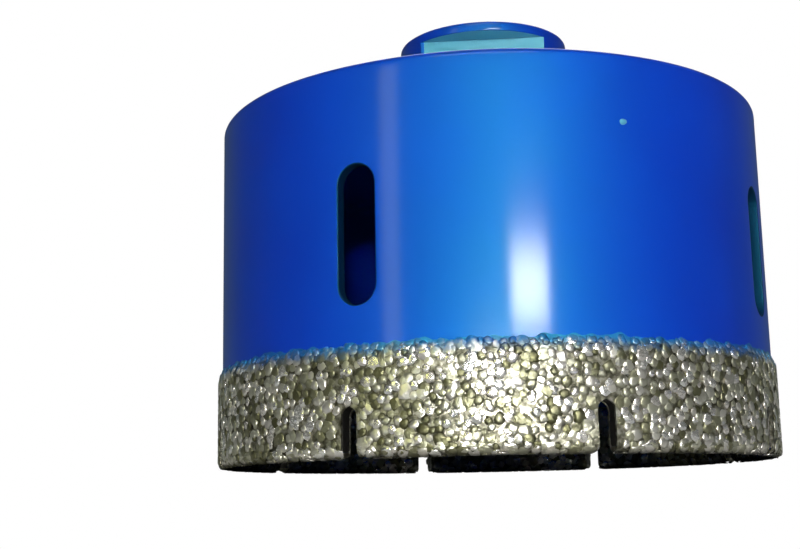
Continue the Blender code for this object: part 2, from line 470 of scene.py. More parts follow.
@dataclass
class NodeBench:
    """A material's or the world's node tree, with short ways to add and join nodes.

    Attributes:
        owner: The material or the world.
        output: The tree's output node.
    """

    owner: Shaded
    output: bpy.types.Node

    @staticmethod
    def emptied(owner: Shaded, output: str) -> "NodeBench":
        """A bench for a material or world whose tree holds nothing but an output."""
        owner.use_nodes = True
        owner.node_tree.nodes.clear()
        return NodeBench(owner, owner.node_tree.nodes.new(output))

    @staticmethod
    def named(name: str) -> "NodeBench":
        """A bench for a new material of that name."""
        return NodeBench.emptied(bpy.data.materials.new(name), "ShaderNodeOutputMaterial")

    def add(self, kind: str, **settings: object) -> bpy.types.Node:
        """Add a node and set the named properties on it."""
        node = self.owner.node_tree.nodes.new(kind)
        for key, value in settings.items():
            setattr(node, key, value)
        return node

    def feed(self, socket: Socket, value: object) -> None:
        """Put a number, a colour or another node's output into a socket."""
        if isinstance(value, Socket):
            self.owner.node_tree.links.new(value, socket)
        elif isinstance(value, tuple) and len(value) == 3 and socket.type == "RGBA":
            socket.default_value = (*value, 1.0)
        else:
            socket.default_value = value

    def finish(self, shader: Socket) -> Shaded:
        """Join a shader to the output and hand the tree's owner over."""
        self.feed(self.output.inputs["Surface"], shader)
        return self.owner

    def place(self) -> Socket:
        """Object coordinates, in metres."""
        return self.add("ShaderNodeTexCoord").outputs["Object"]

    def pattern(self, kind: Pattern, size: float, output: str, **inputs: float) -> Socket:
        """A texture whose features are about a size wide.

        Args:
            kind: Which texture.
            size: The features' width, in metres.
            output: The output to take.
            inputs: Values of further inputs, by their names in lower case.

        Returns:
            The chosen output.
        """
        node = self.add(kind.value)
        self.feed(node.inputs["Vector"], self.place())
        self.feed(node.inputs["Scale"], 1.0 / size)
        for key, value in inputs.items():
            self.feed(node.inputs[key.replace("_", " ").title()], value)
        return node.outputs[output]

    def height(self) -> Socket:
        """The height over the rim's end."""
        split = self.add("ShaderNodeSeparateXYZ")
        self.feed(split.inputs[0], self.place())
        return split.outputs["Z"]

    def maths(self, operation: str, *values: object, clamp: bool = False) -> Socket:
        """The result of one sum on numbers or outputs."""
        node = self.add("ShaderNodeMath", operation=operation, use_clamp=clamp)
        for index, value in enumerate(values):
            self.feed(node.inputs[index], value)
        return node.outputs[0]

    def spread(self, value: object, span: Span, onto: Span = (0.0, 1.0)) -> Socket:
        """A value's span spread smoothly over another one, and held at its ends."""
        node = self.add("ShaderNodeMapRange", interpolation_type="SMOOTHSTEP")
        names = ("Value", "From Min", "From Max", "To Min", "To Max")
        for name, number in zip(names, (value, *span, *onto)):
            self.feed(node.inputs[name], number)
        return node.outputs["Result"]

    def ramp(self, value: object, stops: list[tuple[float, Colour]]) -> Socket:
        """Colours along a value from nought to one, each with its place."""
        node = self.add("ShaderNodeValToRGB")
        band = node.color_ramp
        while len(band.elements) < len(stops):
            band.elements.new(1.0)
        for element, (place, colour) in zip(band.elements, stops):
            element.position = place
            element.color = (*colour, 1.0)
        self.feed(node.inputs["Fac"], value)
        return node.outputs["Color"]

    def clouds(self, value: object, first: Colour, second: Colour) -> Socket:
        """Two colours along a noise."""
        return self.ramp(value, list(zip(NOISE_SPAN, (first, second))))

    def blend(self, share: object, first: object, second: object) -> Socket:
        """A mix of two colours, on the Mix node's colour sockets."""
        node = self.add("ShaderNodeMix", data_type="RGBA")
        for index, value in ((0, share), (6, first), (7, second)):
            self.feed(node.inputs[index], value)
        return node.outputs[2]

    def mix(self, share: object, first: Socket, second: Socket) -> Socket:
        """A mix of two shaders."""
        node = self.add("ShaderNodeMixShader")
        for index, value in enumerate((share, first, second)):
            self.feed(node.inputs[index], value)
        return node.outputs[0]

    def bump(
        self, height: object, depth: float, strength: float, under: Socket | None = None
    ) -> Socket:
        """Normals bent by a height of a given depth in metres, over other bent normals."""
        node = self.add("ShaderNodeBump")
        for name, value in (("Height", height), ("Distance", depth), ("Strength", strength)):
            self.feed(node.inputs[name], value)
        if under is not None:
            self.feed(node.inputs["Normal"], under)
        return node.outputs["Normal"]

    def principled(self, **inputs: object) -> Socket:
        """A Principled shader with its inputs given by name, in lower case."""
        node = self.add("ShaderNodeBsdfPrincipled")
        for key, value in inputs.items():
            title = key.replace("_", " ").title().replace("Ior", "IOR")
            self.feed(node.inputs[title], value)
        return node.outputs["BSDF"]


@dataclass(frozen=True)
class Enamel:
    """Glossy blue enamel, sprayed on steel.

    Attributes:
        name: The material's name.
        deep: Its colour where the coat is thick.
        light: Its colour where the coat is thin.
        flake: How metallic the pigment is.
        sheen: Tint of the pigment's own sheen.
        roughness: Of the pigment under the gloss.
        dulling: How much rougher the pigment is where the coat is thin.
        cloud_size: Width of the thick and thin patches.
        refraction: The paint's index of refraction.
        gloss: Weight of the clear gloss over it.
        gloss_roughness: Roughness of the gloss.
        peel: Depth of its orange peel.
        peel_size: Width of the peel's dimples.
        fine_peel: Depth of the finer dimples.
        fine_size: Their width.
    """

    name: str
    deep: Colour = (0.0008, 0.010, 0.51)
    light: Colour = (0.0012, 0.016, 0.57)
    flake: float = 0.10
    sheen: Colour = (0.05, 0.85, 0.53)
    roughness: float = 0.55
    dulling: float = 0.05
    cloud_size: float = 14.0 * MM
    refraction: float = 1.75
    gloss: float = 0.50
    gloss_roughness: float = 0.14
    peel: float = 0.02 * MM
    peel_size: float = 2.2 * MM
    fine_peel: float = 0.0025 * MM
    fine_size: float = 2.2 / 6 * MM

    def shader(self, bench: NodeBench) -> Socket:
        """The enamel's shader: cloudy pigment, a dimpled gloss, and a few finer dimples."""
        cloud = bench.pattern(Pattern.NOISE, self.cloud_size, "Fac", detail=3.0)
        dimples = bench.pattern(Pattern.NOISE, self.peel_size, "Fac", detail=2.0)
        fine = bench.pattern(Pattern.NOISE, self.fine_size, "Fac", detail=2.0)
        dimpled = bench.bump(dimples, self.peel, strength=0.5)
        dulled = (self.roughness, self.roughness + self.dulling)
        return bench.principled(
            base_color=bench.clouds(cloud, self.deep, self.light),
            metallic=self.flake,
            roughness=bench.spread(cloud, NOISE_SPAN, dulled),
            ior=self.refraction,
            specular_ior_level=1.0,
            specular_tint=self.sheen,
            coat_weight=self.gloss,
            coat_roughness=self.gloss_roughness,
            normal=bench.bump(fine, self.fine_peel, strength=0.6, under=dimpled),
        )

    def material(self) -> Material:
        """The enamel as a material."""
        bench = NodeBench.named(self.name)
        return bench.finish(self.shader(bench))


@dataclass(frozen=True)
class BareSteel:
    """Cut steel that was masked from the spray, as in a thread.

    Attributes:
        name: The material's name.
        colour: Its colour.
        roughness: Roughness where it is clean.
        dulling: How much rougher it is under the oil.
        darkening: Brightness of the oiled steel, as a share of the clean.
        film_size: Width of the oil's patches.
        film_span: Noise values between which the oil gives way to clean steel.
        score: Depth of the fine scores.
        score_size: Their width.
    """

    name: str = "cut_steel"
    colour: Colour = (0.46, 0.45, 0.43)
    roughness: float = 0.32
    dulling: float = 0.15
    darkening: float = 0.55
    film_size: float = 3.0 * MM
    film_span: Span = (0.35, 0.65)
    score: float = 0.01 * MM
    score_size: float = 0.2 * MM

    def material(self) -> Material:
        """Steel with a thin film of cutting oil that clouds its colour and gloss."""
        bench = NodeBench.named(self.name)
        film = bench.pattern(Pattern.NOISE, self.film_size, "Fac", detail=4.0)
        fine = bench.pattern(Pattern.NOISE, self.score_size, "Fac", detail=2.0)
        dark = tuple(self.darkening * part for part in self.colour)
        dulled = (self.roughness + self.dulling, self.roughness)
        shader = bench.principled(
            base_color=bench.ramp(film, list(zip(self.film_span, (dark, self.colour)))),
            metallic=1.0,
            roughness=bench.spread(film, NOISE_SPAN, dulled),
            normal=bench.bump(fine, self.score, strength=0.4),
        )
        return bench.finish(shader)


@dataclass(frozen=True)
class GritFinish:
    """Diamond grains or the nickel braze between them, sprayed over along the paint's edge.

    Attributes:
        name: The material's name.
        tones: Colours along the grains' own tone, or along a noise where there are no grains.
        by_grain: Whether each grain has its own tone.
        metallic: How metallic it is.
        roughness: Roughness of the dullest and of the brightest.
        tone_span: The tones of those two.
        painted_end_shade: Colour of painted shade, blended into the rim's end where it faces
            down.
        painted_end_shade_span: Heights between which that painted shade gives way.
        sprayed_span: Heights of the spray's first specks and of its full cover.
        raggedness: Height over which the spray's edge strays.
        spray: The enamel of the spray.
        mottle_size: Width of the blotches that break up the spray's edge.
        pit: Depth of the pits between facets.
        pit_size: Their width.
        grain: Depth of the fine grain.
        grain_size: Its width.
    """

    name: str
    tones: tuple[tuple[float, Colour], ...]
    by_grain: bool
    metallic: float
    roughness: Span
    tone_span: Span = (0.2, 1.0)
    # painted shade at the rim's end: its dark colour and the heights over which it fades
    painted_end_shade: Colour = (0.05, 0.047, 0.036)
    painted_end_shade_span: Span = (-0.6 * MM, 1.3 * MM)
    sprayed_span: Span = (16.5 * MM, 19.1 * MM)
    raggedness: float = 3.4 * MM
    spray: Enamel = Enamel("overspray", (0.006, 0.07, 0.40), (0.03, 0.20, 0.46))
    mottle_size: float = 1.1 * MM
    pit: float = 0.05 * MM
    pit_size: float = 0.45 * MM
    grain: float = 0.03 * MM
    grain_size: float = 0.22 * MM

    def material(self) -> Material:
        """Grit with the blue spray mixed in by height, broken up by a noise, and with painted
        shade towards the rim's end.

        The spray covers a place where its height plus the noise's share of the raggedness
        lies in the sprayed span or over it.
        """
        bench = NodeBench.named(self.name)
        mottle = bench.pattern(Pattern.NOISE, self.mottle_size, "Fac", detail=3.0)
        if self.by_grain:
            tone = bench.add("ShaderNodeAttribute", attribute_name="tone").outputs["Fac"]
        else:
            tone = bench.spread(mottle, NOISE_SPAN)
        fine = bench.pattern(Pattern.NOISE, self.grain_size, "Fac", detail=3.0)
        pits = bench.pattern(Pattern.CELLS, self.pit_size, "Distance")
        pitted = bench.bump(pits, self.pit, strength=0.4)
        # painted shade: the grit darkens towards the rim's end by height alone, where the
        # rounded end faces down
        painted_end_shade = bench.spread(bench.height(), self.painted_end_shade_span)
        grit = bench.principled(
            base_color=bench.blend(painted_end_shade, self.painted_end_shade, bench.ramp(tone, list(self.tones))),
            metallic=self.metallic,
            roughness=bench.spread(tone, self.tone_span, self.roughness),
            normal=bench.bump(fine, self.grain, strength=0.5, under=pitted),
        )
        ragged = bench.maths("MULTIPLY_ADD", mottle, self.raggedness, bench.height())
        covered = bench.spread(ragged, self.sprayed_span)
        return bench.finish(bench.mix(covered, grit, self.spray.shader(bench)))


# ---------------------------------------------------------------------------------------
# Pieces
# ---------------------------------------------------------------------------------------


def hand_over(piece: Piece, slot: str, *nodes: str) -> None:
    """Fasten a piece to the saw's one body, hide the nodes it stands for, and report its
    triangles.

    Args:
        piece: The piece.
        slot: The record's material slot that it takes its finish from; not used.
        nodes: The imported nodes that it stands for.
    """
    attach(piece, "root")
    if nodes:
        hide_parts(*nodes)
    piece.data.calc_loop_triangles()
    log.info("%s: %d triangles", piece.name, len(piece.data.loop_triangles))


@dataclass
class Notches:
    """The dust notches, sawn through the rim and its coat.

    Attributes:
        count: How many, evenly spaced.
        turn: The first one's angle.
        width: Their width.
        height: Height of their round tops.
        reach: Angle over which a wall's columns give way to one.
    """

    count: int = 8
    turn: float = math.radians(-1.6)
    width: float = 2.8 * MM
    height: float = 7.8 * MM
    reach: float = math.radians(5.0)

    @property
    def turns(self) -> list[float]:
        """Their angles."""
        return [self.turn + math.tau * index / self.count for index in range(self.count)]

    def openings(self, edge: float = 0.0) -> list[Opening]:
        """The notches as openings of a wall.

        Args:
            edge: Radius of their rounded edges.

        Returns:
            One opening for each notch.
        """
        straight_end = self.height - self.width / 2
        return [
            Opening(turn, self.width / 2, 0.0, straight_end, edge, self.reach, open_below=True)
            for turn in self.turns
        ]


@dataclass
class Cup:
    """The enamelled steel cup: wall and crown in one, with four core slots.

    Attributes:
        notches: The dust notches in its rim.
        radius: Outer radius of the wall.
        wall: The wall's thickness.
        rim_end: Height of the steel's end, inside the coat.
        rim_chamfer: Chamfer of that end.
        crown_height: Height of the crown's top.
        crown_thickness: The crown's thickness.
        crown_edge: Radius of the crown's outer edge.
        crown_root: Radius of its inner corner.
        crown_hole: Radius of the hub's hole.
        slot_count: How many core slots.
        slot_width: Their width.
        slot_length: Their length.
        slot_middle: Height of their middle.
        slot_edge: Radius of their painted edges.
        slot_reach: Angle over which the wall's columns give way to one.
        notch_edge: Radius of the notches' sawn edges.
        column_step: Angle between the wall's columns.
    """

    notches: Notches
    radius: float = 49.15 * MM
    wall: float = 2.0 * MM
    rim_end: float = 1.1 * MM
    rim_chamfer: float = 0.4 * MM
    crown_height: float = 61.5 * MM
    crown_thickness: float = 3.0 * MM
    crown_edge: float = 1.2 * MM
    crown_root: float = 2.2 * MM
    crown_hole: float = 12.3 * MM
    slot_count: int = 4
    slot_width: float = 6.5 * MM
    slot_length: float = 22.0 * MM
    slot_middle: float = 34.1 * MM
    slot_edge: float = 0.18 * MM
    slot_reach: float = math.radians(9.0)
    notch_edge: float = 0.12 * MM
    column_step: float = math.radians(1.0)

    def slots(self) -> list[Opening]:
        """The core slots as openings of the wall."""
        straight = (self.slot_length - self.slot_width) / 2
        low, high = self.slot_middle - straight, self.slot_middle + straight
        turns = [math.tau * index / self.slot_count for index in range(self.slot_count)]
        return [
            Opening(turn, self.slot_width / 2, low, high, self.slot_edge, self.slot_reach)
            for turn in turns
        ]

    def shared_heights(self, slot: Opening, notch: Opening) -> Array:
        """Heights of both skins' rows, dense round the openings' round ends.

        Args:
            slot: One of the core slots.
            notch: One of the notches.

        Returns:
            Heights from the rim to just over the slots.
        """
        low = self.rim_end + self.rim_chamfer
        notch_end = notch.high + notch.end_rows(steps=6)
        slot_start = slot.low - slot.end_rows(steps=9)[::-1]
        slot_end = slot.high + slot.end_rows(steps=9)
        return np.concatenate(
            [
                np.linspace(low, notch_end[0], num=6)[:-1],
                notch_end,
                np.linspace(notch_end[-1], slot_start[0], num=12)[1:-1],
                slot_start[:-1],
                np.linspace(slot_start[-1], slot_end[0], num=8)[:-1],
                slot_end,
            ]
        )

    def build(self, enamel: Material, thin: Material, cut: Material) -> Piece:
        """Both skins from the rim up the wall and over the crown to the hub's hole.

        Args:
            enamel: The paint.
            thin: The slots' sides, a dull paint made near black as painted shade of the slots.
            cut: The bare steel inside the notches, which were sawn after the coat was on,
                darkened as painted shade of the notches.

        Returns:
            The cup.
        """
        slots = self.slots()
        cuts = self.notches.openings(self.notch_edge)
        shared = self.shared_heights(slots[0], cuts[0])
        bore = self.radius - self.wall
        skins = []
        for radius, top, corner, side in (
            (self.radius, self.crown_height, self.crown_edge, -1.0),
            (bore, self.crown_height - self.crown_thickness, self.crown_root, 1.0),
        ):
            upper = np.linspace(shared[-1], top - corner, num=9)[1:-1]
            wall = np.concatenate([shared, upper])
            centre = (radius - corner, top - corner)
            bend = quarter(centre, corner, 0.0, math.pi / 2, steps=6)
            disc = np.linspace(radius - corner, self.crown_hole, num=14)[1:]
            end = (radius + side * self.rim_chamfer, self.rim_end)
            skins.append(
                np.concatenate(
                    [
                        [end],
                        np.stack([np.full_like(wall, radius), wall], axis=-1),
                        bend,
                        np.stack([disc, np.full_like(disc, top)], axis=-1),
                    ]
                )
            )
        seams = [opening.turn for opening in slots + cuts]
        columns = Columns.between(seams, self.column_step)
        # finish 1, the slots' sides, is near-black painted shade; finish 2 lines the notches
        wall = PiercedWall(columns, slots + cuts, finishes=(1, 2))
        front, back = (across_columns(skin, columns) for skin in skins)
        cup = sewn("cup_shell", wall.surface(front, back), [enamel, thin, cut], crease=40.0)
        hand_over(cup, "cup_paint", "cup")
        return cup


@dataclass
class PaintSpeck:
    """A speck that dried into the paint, a low dome on the cup's wall.

    Attributes:
        wall_radius: Outer radius of the wall.
        turn: The angle of its middle.
        height: Height of its middle.
        radius: About half its width.
        squash: Its height on the wall over its width.
        unevenness: How far its outline wavers, as a share of its radius.
        rise: How far it stands out.
        seated: How far its rim is sunk into the wall.
        rooted: How far its flat back is sunk.
        rows: Rows of points from its rim to its peak.
        columns: Points round it.
    """

    wall_radius: float
    turn: float = math.radians(49.6)
    height: float = 50.2 * MM
    radius: float = 0.62 * MM
    squash: float = 0.85
    unevenness: float = 0.12
    rise: float = 0.24 * MM
    seated: float = 0.03 * MM
    rooted: float = 0.06 * MM
    rows: int = 7
    columns: int = 28

    def build(self, enamel: Material) -> Piece:
        """The dome and the flat back that closes it.

        Its rows shrink towards its peak as the cosine of a share of a right angle while it
        rises as the sine, and its outline wavers a little.

        Args:
            enamel: The paint.

        Returns:
            The speck.
        """
        climb = np.linspace(0.0, math.pi / 2, self.rows)[:, None]
        around = np.linspace(0.0, math.tau, self.columns, endpoint=False)[None, :]
        outline = 1.0 + self.unevenness * wavering(around, waves=(2, 3), seed=0.4)
        reach = self.radius * np.cos(climb) * outline
        grid = placed(
            self.wall_radius - self.seated + self.rise * np.sin(climb),
            self.turn + reach * np.cos(around) / self.wall_radius,
            self.height + self.squash * reach * np.sin(around),
        )
        surface = Surface()
        surface.add_grid(grid, closed_columns=True)
        middle = placed(self.wall_radius - self.rooted, self.turn, self.height)
        surface.add_grid(np.stack([grid[0], middle + 0.0 * grid[0]]), closed_columns=True)
        speck = sewn("paint_speck", surface, [enamel], crease=60.0)
        hand_over(speck, "cup_paint")
        return speck


@dataclass(frozen=True)
class GrainHabit:
    """How a diamond grain is shaped, and how much the grains differ.

    Attributes:
        smallest: Half width of the smallest, as a share of the spacing.
        variation: How much wider the largest is, as a share of the spacing.
        rarity: Power of the random number, which makes large grains rare.
        flatness: Height of a grain over its width.
        sunk: Depth of a grain's middle under the tips, in shares of its half height.
        pushes: Factors on the middles of its faces, on those of its edges and on its corners.
        stretch: Factors along its three axes.
        chipping: Scatter of each of its points, as a share of its half width.
        smooth_share: Share of the grains that wear has made smooth.
    """

    smallest: float = 0.46
    variation: float = 0.44
    rarity: float = 1.5
    flatness: float = 0.22
    sunk: Span = (0.70, 0.96)
    pushes: tuple[Span, Span, Span] = ((0.92, 1.0), (0.58, 0.70), (0.46, 0.60))
    stretch: Span = (0.82, 1.12)
    chipping: float = 0.09
    smooth_share: float = 0.55

    def shapes(self, count: int, rng: np.random.Generator) -> tuple[Array, Array]:
        """Crystals around the origin, each of half width one and turned at random.

        A crystal is a cube's corners, its edges' middles and its faces' middles, each kind
        pushed out by its own factor, then stretched, chipped and turned.

        Args:
            count: How many.
            rng: The random numbers.

        Returns:
            Points by crystal, and one crystal's triangles.
        """
        shape, faces = worn_crystal()
        kind = np.abs(shape).sum(axis=1).astype(int) - 1
        push = np.stack([rng.uniform(*factors, count) for factors in self.pushes], axis=1)
        local = shape[None] * push[:, kind][..., None]
        local = local * rng.uniform(*self.stretch, (count, 1, 3))
        local = local + rng.normal(0.0, self.chipping, (count, len(shape), 3))
        return np.einsum("nij,nkj->nki", random_turns(count, rng), local), faces


@dataclass(frozen=True)
class GrainZone:
    """A stretch of the coat that is covered with grains.

    Attributes:
        name: The name of the grains' piece.
        start: Distance along the envelope of the first grains.
        end: Distance of the last ones.
        spacing: Distance between neighbours.
        seed: Seed of its random numbers.
    """

    name: str
    start: float
    end: float
    spacing: float
    seed: int


@dataclass
class GritCoat:
    """Diamond grains in nickel braze, over the outside, the end and the inside of the rim.

    The grains' tips reach an envelope: down the outside, round the end and up the inside.
    The braze lies a little below it.

    Attributes:
        notches: The dust notches.
        outside: Radius that the outer tips reach.
        inside: Radius that the inner tips reach.
        wall_outside: Outer radius of the steel.
        wall_inside: Inner radius of the steel.
        steel_end: Height of the steel's end.
        top: Height of the coat's upper edge outside.
        inside_top: Height of its upper edge inside.
        end_radius: Radius of the rim's rounded edges.
        sunk: How far the braze lies below the tips.
        sunk_share: The most that it sinks, as a share of the tips' distance from the steel.
        hidden: How far the braze's back lies off the steel.
        lowest_braze: Least height of the braze over the rim's end.
        lowest_grain: Least height of the grains over it.
        fade_foot: Height from which up the coat's edge begins to waver.
        waver: Half the height of the wavering.
        lump: Height of the braze's lumps.
        lump_sizes: Widths of its large and its small lumps.
        habit: The grains' shape.
        spacing: Mean distance between the grains outside.
        inside_spacing: The same inside.
        jitter: Largest random shift of a grain, in shares of the spacing.
        margin: Distance from the grains' middles to the notches, in shares of the spacing.
        edge_gap: Distance from the coat's upper edges to the first grains.
        overlap: How far the outer grains go round the rim's edge.
        inside_gap: Distance from the same edge to the inner grains.
        column_step: Angle between the braze's columns.
    """

    notches: Notches
    outside: float = 49.97 * MM
    inside: float = 46.45 * MM
    wall_outside: float = 49.15 * MM
    wall_inside: float = 47.15 * MM
    steel_end: float = 1.1 * MM
    top: float = 17.2 * MM
    inside_top: float = 13.0 * MM
    end_radius: float = 1.5 * MM
    sunk: float = 0.31 * MM
    sunk_share: float = 0.6
    hidden: float = 0.02 * MM
    lowest_braze: float = 0.15 * MM
    lowest_grain: float = 0.005 * MM
    fade_foot: float = 10.0 * MM
    waver: float = 0.5 * MM
    lump: float = 0.20 * MM
    lump_sizes: Span = (1.5 * MM, 0.8 * MM)
    habit: GrainHabit = GrainHabit()
    spacing: float = 1.45 * MM
    inside_spacing: float = 1.75 * MM
    jitter: float = 0.34
    margin: float = 0.42
    edge_gap: float = 0.5 * MM
    overlap: float = 0.4 * MM
    inside_gap: float = 1.1 * MM
    column_step: float = math.radians(0.6)

    def zones(self) -> tuple[GrainZone, GrainZone]:
        """The grains outside, which go a little way round the rim's edge, and those inside."""
        edge, end = self.outside_length(), self.length() - self.edge_gap
        return (
            GrainZone("grains_outside", self.edge_gap, edge + self.overlap, self.spacing, 11),
            GrainZone("grains_inside", edge + self.inside_gap, end, self.inside_spacing, 23),
        )

    def envelope(self) -> Array:
        """Points (r, z) that the tips reach, from the upper edge outside round to the inner.

        The coat thins out towards both edges over a few points, each given by its distance
        from the steel or from the full coat, and by its drop below the edge.
        """
        low = self.end_radius
        return np.concatenate(
            [
                [
                    (self.wall_outside + 0.10 * MM, self.top),
                    (self.wall_outside + 0.42 * MM, self.top - 0.7 * MM),
                    (self.outside - 0.08 * MM, self.top - 1.6 * MM),
                    (self.outside, self.top - 2.5 * MM),
                ],
                quarter((self.outside - low, low), low, 0.0, -math.pi / 2, steps=5),
                quarter((self.inside + low, low), low, -math.pi / 2, -math.pi, steps=5),
                [
                    (self.inside, self.inside_top - 1.2 * MM),
                    (self.wall_inside - 0.05 * MM, self.inside_top),
                ],
            ]
        )

    def along(self, distance: Array) -> tuple[Array, Array]:
        """Points and outward normals at distances along the envelope.

        The points are interpolated along the polyline, and a normal is its direction
        between two near points, turned by a right angle.

        Args:
            distance: Distances from the upper edge outside.

        Returns:
            Points (r, z) and unit normals (r, z).
        """
        path = self.envelope()
        steps = np.linalg.norm(np.diff(path, axis=0), axis=-1)
        length = np.concatenate([[0.0], np.cumsum(steps)])

        def at(where: Array) -> Array:
            """Points (r, z) at distances along the polyline, held at its ends."""
            held = np.clip(where, 0.0, length[-1])
            return np.stack([np.interp(held, length, part) for part in path.T], axis=-1)

        nearby = 0.15 * MM
        step = at(distance + nearby) - at(distance - nearby)
        step /= np.linalg.norm(step, axis=-1, keepdims=True)
        return at(distance), np.stack([-step[..., 1], step[..., 0]], axis=-1)

    def length(self) -> float:
        """Length of the envelope."""
        return float(np.linalg.norm(np.diff(self.envelope(), axis=0), axis=-1).sum())

    def outside_length(self) -> float:
        """Length of its stretch outside, down to the end of its straight fall."""
        return float(np.linalg.norm(np.diff(self.envelope()[:5], axis=0), axis=-1).sum())

    def shift(self, angle: Array, height: Array, slow: float = 0.0) -> Array:
        """How far the ragged upper edge lifts a place of the coat.

        The waver's height times two means of sines round the axis, the slower one by its
        share, and times the height over the fade's foot, eased, as a share of the full one.

        Args:
            angle: Angles round the axis.
            height: Heights over the rim's end.
            slow: Share of the slower sines.

        Returns:
            The lifts.
        """
        fade = eased((height - self.fade_foot) / (self.top - self.fade_foot))
        ragged = wavering(angle, waves=(31, 53, 83, 127), seed=0.9)
        return fade * (ragged + slow * wavering(angle, waves=(7, 11), seed=2.1)) * self.waver

    def lumps(self, where: Array) -> Array:
        """Rises of the braze's lumps over its mean level.

        Each lump rises by one less the distance to the nearest scattered seed, and small
        lumps lie on the large ones.

        Args:
            where: Points on the braze.

        Returns:
            One rise for each point, negative in the hollows.
        """
        small, mean = 0.4, 0.75
        large_size, small_size = self.lump_sizes
        level = 1.0 - grain_distances(where, large_size, seed=3.0)
        level += small * (1.0 - grain_distances(where, small_size, seed=5.0))
        return (level - mean) * self.lump

    def build_braze(self, finish: Material) -> Piece:
        """The braze: the envelope sunk along its normals, lumpy, with a ragged upper edge.

        Args:
            finish: The braze's finish.

        Returns:
            The coat of braze.
        """
        # two quarter circles, the end between them and a little of the inside
        end_length = math.pi * self.end_radius + 1.4 * MM
        outer = np.linspace(0.0, self.outside_length(), num=38)
        turn = np.linspace(outer[-1], outer[-1] + end_length, num=13)[1:]
        inner = np.linspace(turn[-1], self.length(), num=15)[1:]
        point, normal = self.along(np.concatenate([outer, turn, inner]))
        radius, height = point[:, :1], point[:, 1:]
        off_steel = np.abs(radius - np.clip(radius, self.wall_inside, self.wall_outside))
        sunk = np.minimum(self.sunk, off_steel * self.sunk_share)
        profile = point - normal * np.where(height < self.end_radius, self.sunk, sunk)

        columns = Columns.between(self.notches.turns, self.column_step)
        front = across_columns(profile, columns)
        angle = columns.angles[None, :]
        front[..., 1] += self.shift(angle, front[..., 1], slow=0.6)
        rise = self.lumps(placed(front[..., 0], angle, front[..., 1]))
        rise[[0, -1]] = 0.0
        front += normal[:, None, :] * rise[..., None]
        front[..., 1] = np.maximum(front[..., 1], self.lowest_braze)

        outside, inside = self.wall_outside + self.hidden, self.wall_inside - self.hidden
        radius = np.clip(profile[:, 0], inside, outside)
        height = np.maximum(profile[:, 1], self.steel_end - self.hidden)
        back = across_columns(np.stack([radius, height], axis=-1), columns)
        back[: len(outer), :, 0] = outside
        back[-len(inner) :, :, 0] = inside
        beside_wall = back[..., 1] > self.steel_end
        back[..., 1] = np.where(beside_wall, front[..., 1], back[..., 1])
        wall = PiercedWall(columns, self.notches.openings(), edge_steps=2)
        coat = sewn("braze_coat", wall.surface(front, back), [finish], crease=50.0)
        hand_over(coat, "grit_braze", "diamond_grit")
        return coat

    def sites(self, zone: GrainZone, rng: np.random.Generator) -> tuple[Array, Array]:
        """Places for grains: staggered rows, each place shifted at random.

        The rows lie about as far apart as those of balls in a flat layer, which is half the
        root of three times the balls' spacing.

        Args:
            zone: Where the grains lie.
            rng: The random numbers.

        Returns:
            Angles, and distances along the envelope.
        """
        start, end, row_step = zone.start, zone.end, zone.spacing * 0.87
        rows = max(2, round((end - start) / row_step) + 1)
        around = round(math.tau * (self.outside + self.inside) / 2 / zone.spacing)
        row, column = np.meshgrid(np.arange(rows), np.arange(around), indexing="ij")
        jitter = rng.uniform(-self.jitter, self.jitter, (2, rows, around))
        angle = (column + 0.5 * (row % 2) + jitter[0]) * math.tau / around
        distance = start + (end - start) * (row + jitter[1]) / (rows - 1)
        return angle.ravel(), np.clip(distance.ravel(), start, end)

    def clear_of_notches(self, angle: Array, height: Array, margin: float) -> Array:
        """Whether each place lies clear of every notch by a margin."""
        clear = np.ones(len(angle), dtype=bool)
        for opening in self.notches.openings():
            away = (angle - opening.turn + math.pi) % math.tau - math.pi
            past = np.maximum(height - opening.high, 0.0)
            clear &= np.hypot(away * self.wall_outside, past) > opening.half_width + margin
        return clear

    def build_grains(self, zone: GrainZone, finish: Material) -> Piece:
        """Grains as one mesh of many crystals rounded by wear, each with its own tone.

        Each crystal is pressed flat along the coat's normal and sunk so far that its tip
        reaches the envelope. Points past the envelope are pressed back onto it.

        Args:
            zone: Where they lie.
            finish: The grains' finish.

        Returns:
            The grains.
        """
        habit, rng = self.habit, np.random.default_rng(zone.seed)
        angle, distance = self.sites(zone, rng)
        point, normal = self.along(distance)
        on_outside = distance < self.outside_length()
        point[:, 1] += self.shift(angle, point[:, 1]) * on_outside
        kept = self.clear_of_notches(angle, point[:, 1], self.margin * zone.spacing)
        angle, point, normal = angle[kept], point[kept], normal[kept]
        count = len(angle)
        share = habit.smallest + habit.variation * rng.random(count) ** habit.rarity
        size = zone.spacing * share
        depth = habit.flatness * size * rng.uniform(*habit.sunk, count)
        middle = point - normal * depth[:, None]
        centre = placed(middle[:, 0], angle, middle[:, 1])
        shapes, faces = habit.shapes(count, rng)
        outward = placed(normal[:, 0], angle, normal[:, 1])
        high = np.einsum("nki,ni->nk", shapes, outward)
        shapes -= (1.0 - habit.flatness) * high[..., None] * outward[:, None]
        points = self.held_in((centre[:, None] + shapes * size[:, None, None]).reshape(-1, 3))
        corners = shapes.shape[1]
        triangles = faces[None] + corners * np.arange(count)[:, None, None]
        mesh = filled_mesh(zone.name, points, triangles.reshape(-1, 3))
        smooth = rng.random(count) < habit.smooth_share
        mesh.polygons.foreach_set("use_smooth", np.repeat(smooth, len(faces)))
        tones = np.repeat(rng.random(count), corners).astype(np.float32)
        mesh.attributes.new("tone", "FLOAT", "POINT").data.foreach_set("value", tones)
        grains = dressed(mesh, [finish])
        hand_over(grains, "grit_braze", "diamond_grit")
        return grains

    def held_in(self, points: Array) -> Array:
        """Points scaled back between the envelope's radii, and lifted off its end."""
        radius = np.hypot(points[:, 0], points[:, 1])
        held = np.clip(radius, self.inside, self.outside)
        points[:, :2] *= (held / radius)[:, None]
        points[:, 2] = np.maximum(points[:, 2], self.lowest_grain)
        return points


